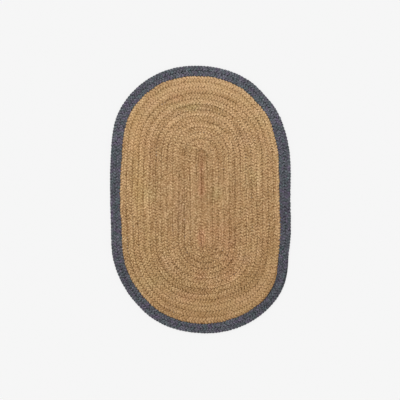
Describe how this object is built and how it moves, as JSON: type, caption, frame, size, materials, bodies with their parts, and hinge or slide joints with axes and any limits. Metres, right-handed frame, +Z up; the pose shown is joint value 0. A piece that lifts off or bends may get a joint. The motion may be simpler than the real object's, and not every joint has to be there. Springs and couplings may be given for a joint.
{
  "type": "braided rug",
  "caption": "Oval floor rug coiled from a flat natural jute braid, with a border coiled from a dark dyed braid.",
  "frame": {"origin": "on the floor, under the middle of the outline", "axes": "+Y along the rug's length, +X across it, +Z up out of the floor"},
  "size_m": [0.6002, 0.8888, 0.009],
  "materials": {
    "jute_braid": "natural golden-brown jute, plaited and stitched, matt",
    "dyed_braid": "jute dyed charcoal blue, plaited and stitched, matt"
  },
  "bodies": {
    "root": {"jute_field": "jute_braid", "border_braid": "dyed_braid"}
  },
  "joints": []
}
